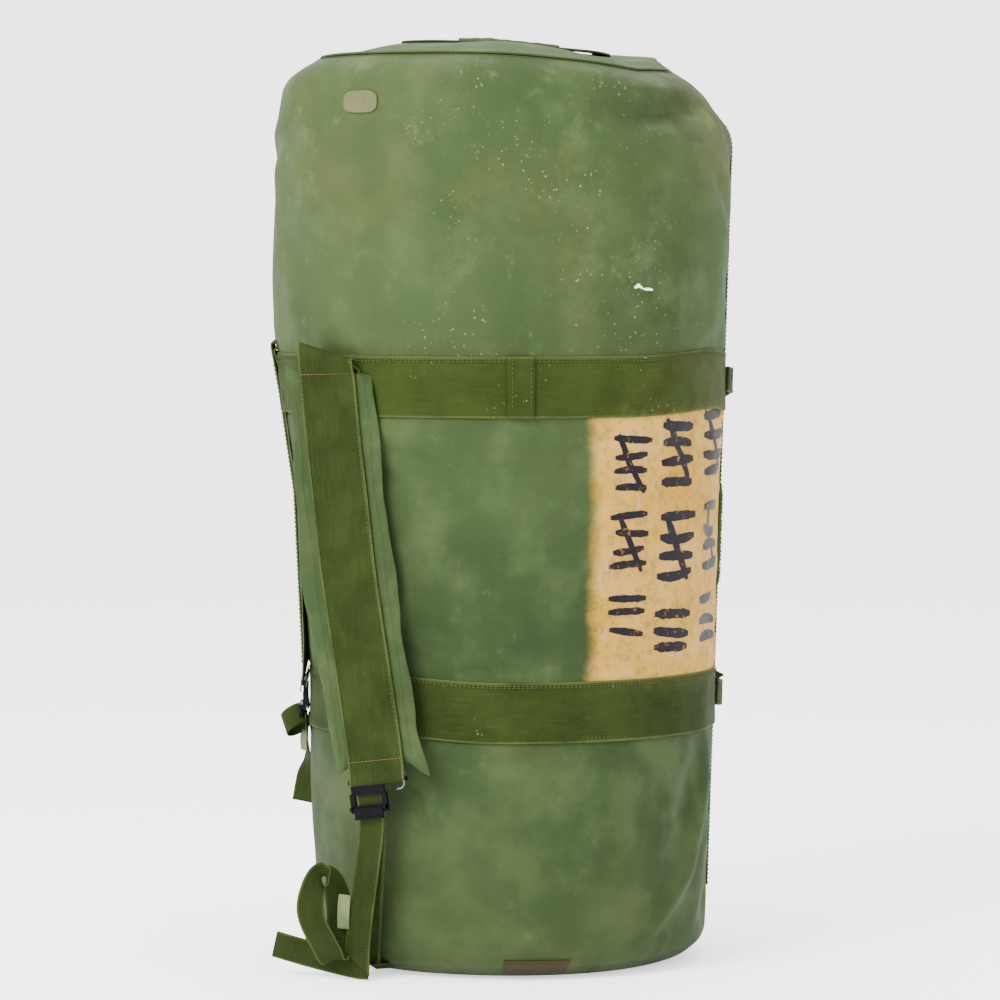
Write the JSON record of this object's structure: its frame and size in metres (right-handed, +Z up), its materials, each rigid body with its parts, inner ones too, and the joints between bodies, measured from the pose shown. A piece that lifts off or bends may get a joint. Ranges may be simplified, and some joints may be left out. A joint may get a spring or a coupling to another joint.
{
  "type": "duffel bag",
  "caption": "Stuffed olive nylon duffel bag standing on end, with two padded shoulder straps, web bands, zipped mouth and handles.",
  "frame": {"origin": "centre of the foot, on the surface that the bag stands on", "axes": "+Z up along the bag; the shoulder straps are on the -Y side and the zipped mouth on the +Y side"},
  "size_m": [0.4296, 0.4772, 0.8819],
  "materials": {
    "body_fabric": "matt",
    "webbing": "matt",
    "foam": "matt",
    "keeper": "matt",
    "tan_patch": "matt",
    "brown_patch": "matt",
    "zip_metal": "satin",
    "buckle_steel": "gloss"
  },
  "bodies": {
    "bag": {"body_shell": "body_fabric", "bottom_panel": "body_fabric", "top_panel": "body_fabric", "bottom_binding": "webbing", "top_piping": "body_fabric", "upper_band": "webbing", "upper_band_lap": "webbing", "lower_band": "webbing", "tan_patch": "tan_patch", "brown_patch": "brown_patch", "mouth_patch_upper": "webbing", "mouth_patch_lower": "webbing", "zip_stop_upper": "zip_metal", "zip_stop_lower": "zip_metal", "grab_tabs": "webbing", "carry_tabs_right": "webbing", "carry_tabs_left": "webbing", "strap_root_right": "webbing", "strap_root_left": "webbing", "base_anchor_right": "webbing", "base_anchor_left": "webbing"},
    "slider": {"zip_slider": "zip_metal"},
    "pull": {"zip_pull": "zip_metal"},
    "mouth_right": {"mouth_flap_right": "body_fabric", "zip_tape_right": "webbing", "zip_coil_right": "zip_metal"},
    "mouth_left": {"mouth_flap_left": "body_fabric", "zip_tape_left": "webbing", "zip_coil_left": "zip_metal"},
    "grab": {"grab_handle": "webbing", "grab_sleeve": "body_fabric"},
    "carry_right": {"carry_handle_right": "webbing", "carry_sleeve_right": "body_fabric"},
    "carry_left": {"carry_handle_left": "webbing", "carry_sleeve_left": "body_fabric"},
    "strap_right": {"strap_web_right": "webbing", "pad_cover_right": "body_fabric", "pad_foam_right": "foam", "buckle_frame_right": "buckle_steel", "buckle_web_right": "webbing"},
    "lever_right": {"buckle_lever_right": "buckle_steel"},
    "tail_right": {"tail_web_right": "webbing", "tail_loop_right": "webbing", "keeper_right": "keeper"},
    "adjuster_upper_right": {"adjuster_upper_right": "webbing"},
    "adjuster_lower_right": {"adjuster_lower_right": "webbing"},
    "strap_left": {"strap_web_left": "webbing", "pad_cover_left": "body_fabric", "pad_foam_left": "foam", "buckle_frame_left": "buckle_steel", "buckle_web_left": "webbing"},
    "lever_left": {"buckle_lever_left": "buckle_steel"},
    "tail_left": {"tail_web_left": "webbing", "tail_loop_left": "webbing", "keeper_left": "keeper"},
    "adjuster_upper_left": {"adjuster_upper_left": "webbing"},
    "adjuster_lower_left": {"adjuster_lower_left": "webbing"}
  },
  "joints": [
    {"name": "zip_travel", "type": "slide", "parent": "bag", "child": "slider", "axis": [0, -0.0309, -0.9995], "range_m": [0, 0.685]},
    {"name": "pull_swing", "type": "hinge", "parent": "slider", "child": "pull", "pos_m": [0, 0.21642, 0.7821], "axis": [1, 0, 0], "range_deg": [0, 150]},
    {"name": "mouth_right_turn", "type": "hinge", "parent": "bag", "child": "mouth_right", "pos_m": [0, 0, 0], "axis": [0, 0, -1], "range_deg": [0, 18]},
    {"name": "mouth_left_turn", "type": "hinge", "parent": "bag", "child": "mouth_left", "pos_m": [0, 0, 0], "axis": [0, 0, 1], "range_deg": [0, 18]},
    {"name": "grab_swing", "type": "hinge", "parent": "bag", "child": "grab", "pos_m": [-0.01827, 0.00813, 0.8774], "axis": [-0.4067, -0.9135, 0], "range_deg": [0, 150]},
    {"name": "carry_right_swing", "type": "hinge", "parent": "bag", "child": "carry_right", "pos_m": [0.08065, 0.19376, 0.40274], "axis": [-0.0119, -0.0286, -0.9995], "range_deg": [0, 150]},
    {"name": "carry_left_swing", "type": "hinge", "parent": "bag", "child": "carry_left", "pos_m": [-0.08065, 0.19376, 0.40274], "axis": [-0.0119, 0.0286, 0.9995], "range_deg": [0, 150]},
    {"name": "strap_right_swing", "type": "hinge", "parent": "bag", "child": "strap_right", "pos_m": [0.07504, -0.22691, 0.59], "axis": [-0.7431, -0.6691, 0], "range_deg": [0, 15]},
    {"name": "lever_right_lift", "type": "hinge", "parent": "strap_right", "child": "lever_right", "pos_m": [0.11426, -0.19954, 0.16249], "axis": [-0.7363, -0.6629, -0.1357], "range_deg": [0, 70]},
    {"name": "tail_right_swing", "type": "hinge", "parent": "strap_right", "child": "tail_right", "pos_m": [0.11256, -0.19582, 0.15357], "axis": [-0.7431, -0.6691, 0], "range_deg": [-16, 0]},
    {"name": "adjuster_upper_right_swing", "type": "hinge", "parent": "strap_right", "child": "adjuster_upper_right", "pos_m": [0.11028, -0.1933, 0.15357], "axis": [-0.7431, -0.6691, 0], "range_deg": [-46, 0]},
    {"name": "adjuster_lower_right_swing", "type": "hinge", "parent": "bag", "child": "adjuster_lower_right", "pos_m": [0.09094, -0.17182, 0.013], "axis": [0.7431, 0.6691, 0], "range_deg": [0, 31]},
    {"name": "strap_left_swing", "type": "hinge", "parent": "bag", "child": "strap_left", "pos_m": [-0.08136, -0.21085, 0.59], "axis": [-0.9135, 0.4067, 0], "range_deg": [0, 15]},
    {"name": "lever_left_lift", "type": "hinge", "parent": "strap_left", "child": "lever_left", "pos_m": [-0.08913, -0.20584, 0.24107], "axis": [-0.9132, 0.4066, 0.0262], "range_deg": [0, 70]},
    {"name": "tail_left_swing", "type": "hinge", "parent": "strap_left", "child": "tail_left", "pos_m": [-0.08768, -0.20201, 0.23216], "axis": [-0.9135, 0.4067, 0], "range_deg": [-16, 0]},
    {"name": "adjuster_upper_left_swing", "type": "hinge", "parent": "strap_left", "child": "adjuster_upper_left", "pos_m": [-0.0863, -0.19891, 0.23216], "axis": [-0.9135, 0.4067, 0], "range_deg": [-37, 0]},
    {"name": "adjuster_lower_left_swing", "type": "hinge", "parent": "bag", "child": "adjuster_lower_left", "pos_m": [-0.07718, -0.17843, 0.013], "axis": [0.9135, -0.4067, 0], "range_deg": [0, 22]}
  ],
  "couplings": [
    {"joint": "mouth_right_turn", "follows": "zip_travel", "rad_per_m": 0.45863},
    {"joint": "mouth_left_turn", "follows": "zip_travel", "rad_per_m": 0.45863},
    {"joint": "tail_right_swing", "follows": "strap_right_swing", "ratio": -1},
    {"joint": "adjuster_upper_right_swing", "follows": "strap_right_swing", "ratio": -3.0007},
    {"joint": "adjuster_lower_right_swing", "follows": "strap_right_swing", "ratio": 2.0007},
    {"joint": "tail_left_swing", "follows": "strap_left_swing", "ratio": -1},
    {"joint": "adjuster_upper_left_swing", "follows": "strap_left_swing", "ratio": -2.3714},
    {"joint": "adjuster_lower_left_swing", "follows": "strap_left_swing", "ratio": 1.3714}
  ]
}
